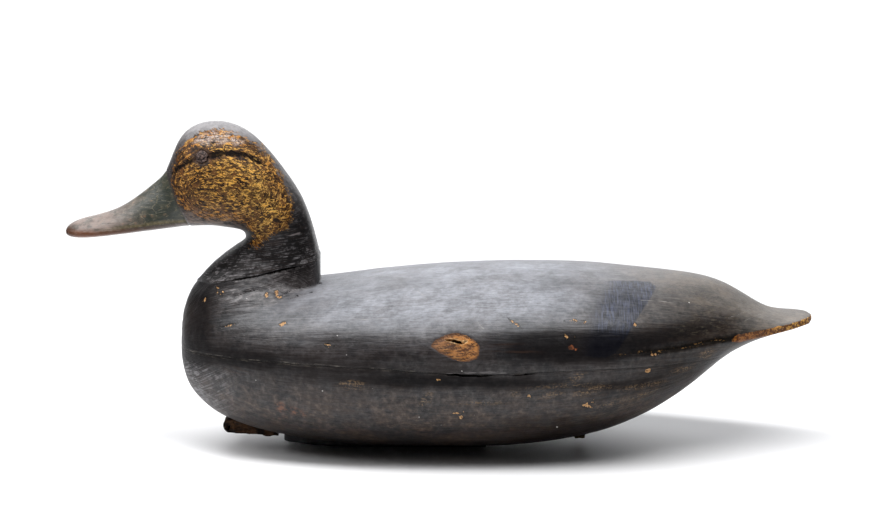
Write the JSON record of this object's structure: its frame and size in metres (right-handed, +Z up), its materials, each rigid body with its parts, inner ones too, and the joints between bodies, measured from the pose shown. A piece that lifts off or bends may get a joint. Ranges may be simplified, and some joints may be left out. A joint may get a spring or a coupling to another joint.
{
  "type": "black duck decoy",
  "caption": "Carved and painted wooden black duck decoy: broad body with a paddle tail, high head on a sloping neck joint, and a lead strip and leather line loop underneath.",
  "frame": {"origin": "on the ground under the middle of the whole decoy, level with the flat underside of the lead strip", "axes": "+Z up, the bill points to -X and the tail to +X, and the form is symmetric about Y = 0"},
  "size_m": [0.43, 0.159, 0.1877],
  "materials": {
    "body_paint": "old brown-black paint over carved wood, satin and dusty on top, worn to bare wood at the seam, a knot and the tail edge",
    "head_paint": "dark paint with fine ochre strokes scratched over the cheeks, olive-brown bill, worn at the edges",
    "tack_metal": "small domed heads, painted over and worn brown",
    "lead": null,
    "leather": "dry brown strap with frayed edges"
  },
  "bodies": {
    "root": {"body_upper": "body_paint", "body_lower": "body_paint", "head": "head_paint", "eye_tack_left": "tack_metal", "eye_tack_right": "tack_metal", "lead_strip": "lead", "lead_nail_1": "tack_metal", "lead_nail_2": "tack_metal", "lead_nail_3": "tack_metal", "lead_nail_4": "tack_metal", "line_loop": "leather", "loop_tack_left": "tack_metal", "loop_tack_right": "tack_metal", "rear_stub": "leather"}
  },
  "joints": []
}
